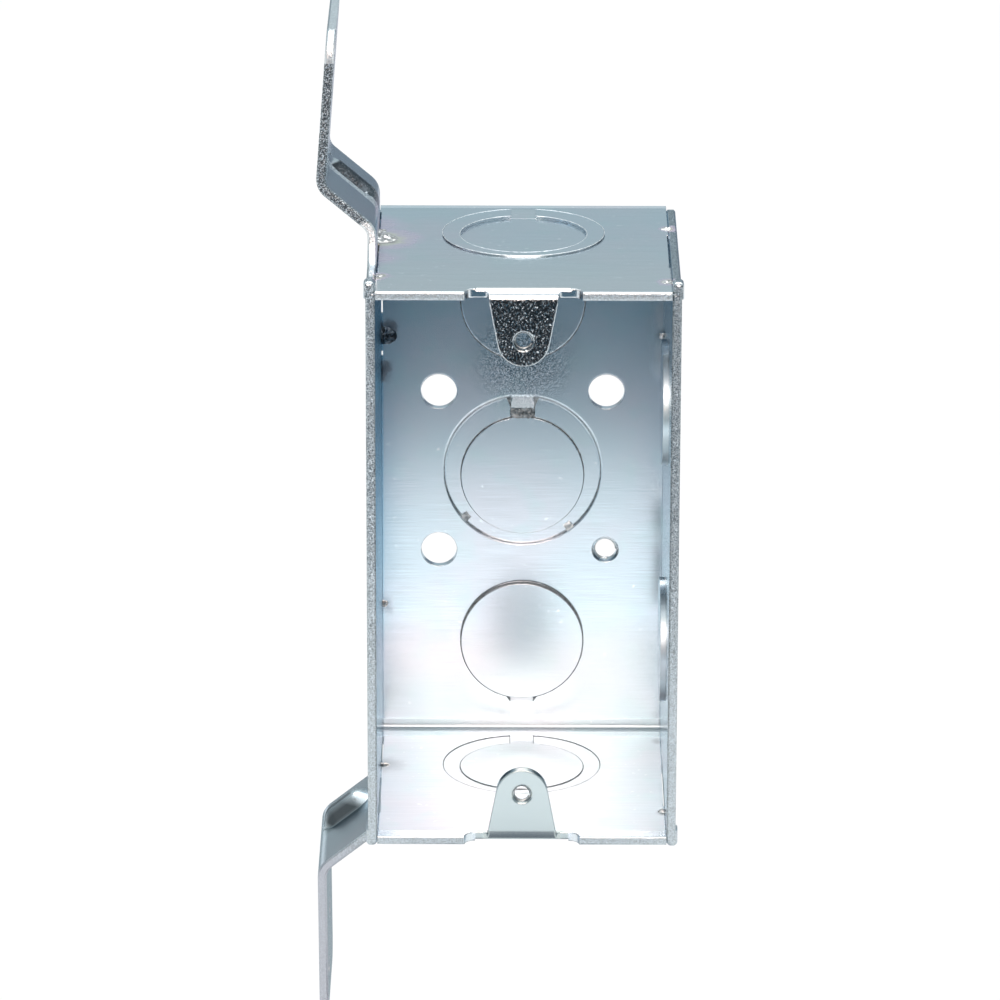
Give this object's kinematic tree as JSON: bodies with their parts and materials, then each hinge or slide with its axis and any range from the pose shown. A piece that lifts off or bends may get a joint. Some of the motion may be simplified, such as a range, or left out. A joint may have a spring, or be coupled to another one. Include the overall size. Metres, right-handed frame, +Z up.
{
  "type": "handy box",
  "caption": "Deep rectangular welded steel wiring box with knockouts, inward device ears and an offset side bracket for nailing to a stud.",
  "frame": {"origin": "midway between the two device screw holes, on the front face of the ears", "axes": "+Z up along the box, -Y out of its mouth, -X towards the stud that the bracket is nailed to"},
  "size_m": [0.0638, 0.0548, 0.1826],
  "materials": {
    "folded_sheet": "zinc plated sheet with a clear blue chromate",
    "bracket_sheet": "zinc plated sheet with a clear blue chromate",
    "side_sheet": "zinc plated sheet with a clear blue chromate"
  },
  "bodies": {
    "root": {"wrapper": "folded_sheet", "bracket_plate": "bracket_sheet", "side_plate": "side_sheet"}
  },
  "joints": []
}
